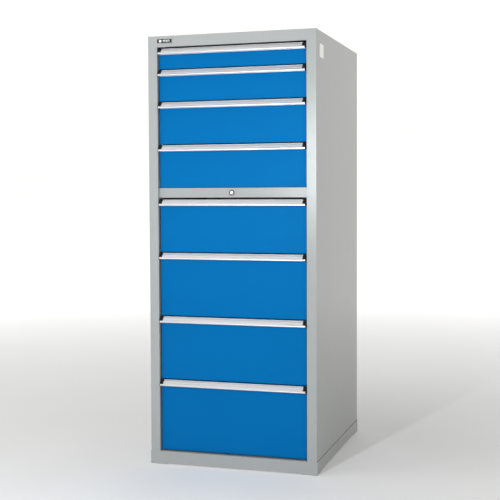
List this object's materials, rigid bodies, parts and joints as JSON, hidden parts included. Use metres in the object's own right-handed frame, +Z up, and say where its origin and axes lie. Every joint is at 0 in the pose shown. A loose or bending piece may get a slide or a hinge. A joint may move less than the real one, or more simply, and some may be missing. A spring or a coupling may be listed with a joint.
{
  "type": "industrial drawer cabinet",
  "caption": "Tall sheet-steel drawer cabinet with full-width handles, full-extension slides and one central lock",
  "frame": {"origin": "on the floor, under the centre of the cabinet's overall box", "axes": "+Z up, +Y towards the back, +X to the right of a person facing the drawers"},
  "size_m": [0.604, 0.7106, 1.5],
  "materials": {
    "grey_housing": "light grey powder coat, fine texture",
    "blue_front": "blue powder coat, satin",
    "handle_aluminium": "satin anodised extrusion",
    "black_plastic": "moulded black nylon",
    "grey_drawer": "light grey powder coat",
    "zinc_steel": "bright zinc plating",
    "lock_chrome": "nickel-plated die casting",
    "lock_black": "black-lacquered die casting",
    "badge_black": "black badge with a silver edge",
    "label_white": "blank white paper-faced label"
  },
  "bodies": {
    "cabinet": {"back_panel": "grey_housing", "base_plinth": "grey_housing", "bottom_panel": "grey_housing", "foot_pads": "grey_housing", "left_fixed_slides": "zinc_steel", "left_side_panel": "grey_housing", "left_uprights": "zinc_steel", "lock_bar_guides": "zinc_steel", "lock_cross_bar": "grey_housing", "lock_housing": "lock_black", "name_badge": "badge_black", "right_fixed_slides": "zinc_steel", "right_side_panel": "grey_housing", "right_uprights": "zinc_steel", "side_label": "label_white", "top_panel": "grey_housing"},
    "drawer_1": {"drawer_1_box": "grey_drawer", "drawer_1_end_caps": "black_plastic", "drawer_1_front": "blue_front", "drawer_1_handle": "handle_aluminium"},
    "drawer_1_middle_slides": {"drawer_1_middle_slides": "zinc_steel"},
    "drawer_2": {"drawer_2_box": "grey_drawer", "drawer_2_end_caps": "black_plastic", "drawer_2_front": "blue_front", "drawer_2_handle": "handle_aluminium"},
    "drawer_2_middle_slides": {"drawer_2_middle_slides": "zinc_steel"},
    "drawer_3": {"drawer_3_box": "grey_drawer", "drawer_3_end_caps": "black_plastic", "drawer_3_front": "blue_front", "drawer_3_handle": "handle_aluminium"},
    "drawer_3_middle_slides": {"drawer_3_middle_slides": "zinc_steel"},
    "drawer_4": {"drawer_4_box": "grey_drawer", "drawer_4_end_caps": "black_plastic", "drawer_4_front": "blue_front", "drawer_4_handle": "handle_aluminium"},
    "drawer_4_middle_slides": {"drawer_4_middle_slides": "zinc_steel"},
    "drawer_5": {"drawer_5_box": "grey_drawer", "drawer_5_end_caps": "black_plastic", "drawer_5_front": "blue_front", "drawer_5_handle": "handle_aluminium"},
    "drawer_5_middle_slides": {"drawer_5_middle_slides": "zinc_steel"},
    "drawer_6": {"drawer_6_box": "grey_drawer", "drawer_6_end_caps": "black_plastic", "drawer_6_front": "blue_front", "drawer_6_handle": "handle_aluminium"},
    "drawer_6_middle_slides": {"drawer_6_middle_slides": "zinc_steel"},
    "drawer_7": {"drawer_7_box": "grey_drawer", "drawer_7_end_caps": "black_plastic", "drawer_7_front": "blue_front", "drawer_7_handle": "handle_aluminium"},
    "drawer_7_middle_slides": {"drawer_7_middle_slides": "zinc_steel"},
    "drawer_8": {"drawer_8_box": "grey_drawer", "drawer_8_end_caps": "black_plastic", "drawer_8_front": "blue_front", "drawer_8_handle": "handle_aluminium"},
    "drawer_8_middle_slides": {"drawer_8_middle_slides": "zinc_steel"},
    "lock": {"lock_cam": "zinc_steel", "lock_plug": "lock_chrome"},
    "locking_bar": {"locking_bar": "zinc_steel"},
    "lock_link": {"lock_link": "zinc_steel"}
  },
  "joints": [
    {"name": "drawer_1_slide", "type": "slide", "parent": "cabinet", "child": "drawer_1", "axis": [0, -1, 0], "range_m": [0, 0.58]},
    {"name": "drawer_1_middle_slide", "type": "slide", "parent": "cabinet", "child": "drawer_1_middle_slides", "axis": [0, -1, 0], "range_m": [0, 0.29]},
    {"name": "drawer_2_slide", "type": "slide", "parent": "cabinet", "child": "drawer_2", "axis": [0, -1, 0], "range_m": [0, 0.58]},
    {"name": "drawer_2_middle_slide", "type": "slide", "parent": "cabinet", "child": "drawer_2_middle_slides", "axis": [0, -1, 0], "range_m": [0, 0.29]},
    {"name": "drawer_3_slide", "type": "slide", "parent": "cabinet", "child": "drawer_3", "axis": [0, -1, 0], "range_m": [0, 0.58]},
    {"name": "drawer_3_middle_slide", "type": "slide", "parent": "cabinet", "child": "drawer_3_middle_slides", "axis": [0, -1, 0], "range_m": [0, 0.29]},
    {"name": "drawer_4_slide", "type": "slide", "parent": "cabinet", "child": "drawer_4", "axis": [0, -1, 0], "range_m": [0, 0.58]},
    {"name": "drawer_4_middle_slide", "type": "slide", "parent": "cabinet", "child": "drawer_4_middle_slides", "axis": [0, -1, 0], "range_m": [0, 0.29]},
    {"name": "drawer_5_slide", "type": "slide", "parent": "cabinet", "child": "drawer_5", "axis": [0, -1, 0], "range_m": [0, 0.58]},
    {"name": "drawer_5_middle_slide", "type": "slide", "parent": "cabinet", "child": "drawer_5_middle_slides", "axis": [0, -1, 0], "range_m": [0, 0.29]},
    {"name": "drawer_6_slide", "type": "slide", "parent": "cabinet", "child": "drawer_6", "axis": [0, -1, 0], "range_m": [0, 0.58]},
    {"name": "drawer_6_middle_slide", "type": "slide", "parent": "cabinet", "child": "drawer_6_middle_slides", "axis": [0, -1, 0], "range_m": [0, 0.29]},
    {"name": "drawer_7_slide", "type": "slide", "parent": "cabinet", "child": "drawer_7", "axis": [0, -1, 0], "range_m": [0, 0.58]},
    {"name": "drawer_7_middle_slide", "type": "slide", "parent": "cabinet", "child": "drawer_7_middle_slides", "axis": [0, -1, 0], "range_m": [0, 0.29]},
    {"name": "drawer_8_slide", "type": "slide", "parent": "cabinet", "child": "drawer_8", "axis": [0, -1, 0], "range_m": [0, 0.58]},
    {"name": "drawer_8_middle_slide", "type": "slide", "parent": "cabinet", "child": "drawer_8_middle_slides", "axis": [0, -1, 0], "range_m": [0, 0.29]},
    {"name": "lock_turn", "type": "hinge", "parent": "cabinet", "child": "lock", "pos_m": [0, -0.3347, 0.9568], "axis": [0, 1, 0], "range_deg": [0, 90]},
    {"name": "lock_link_slide", "type": "slide", "parent": "cabinet", "child": "lock_link", "axis": [1, 0, 0], "range_m": [0, 0.01132]},
    {"name": "locking_bar_slide", "type": "slide", "parent": "cabinet", "child": "locking_bar", "axis": [0, 0, -1], "range_m": [0, 0.012]}
  ],
  "couplings": [
    {"joint": "drawer_1_middle_slide", "follows": "drawer_1_slide", "ratio": 0.5},
    {"joint": "drawer_2_middle_slide", "follows": "drawer_2_slide", "ratio": 0.5},
    {"joint": "drawer_3_middle_slide", "follows": "drawer_3_slide", "ratio": 0.5},
    {"joint": "drawer_4_middle_slide", "follows": "drawer_4_slide", "ratio": 0.5},
    {"joint": "drawer_5_middle_slide", "follows": "drawer_5_slide", "ratio": 0.5},
    {"joint": "drawer_6_middle_slide", "follows": "drawer_6_slide", "ratio": 0.5},
    {"joint": "drawer_7_middle_slide", "follows": "drawer_7_slide", "ratio": 0.5},
    {"joint": "drawer_8_middle_slide", "follows": "drawer_8_slide", "ratio": 0.5},
    {"joint": "lock_turn", "follows": "locking_bar_slide", "rad_per_m": 130.9},
    {"joint": "lock_link_slide", "follows": "locking_bar_slide", "ratio": 0.94281}
  ]
}
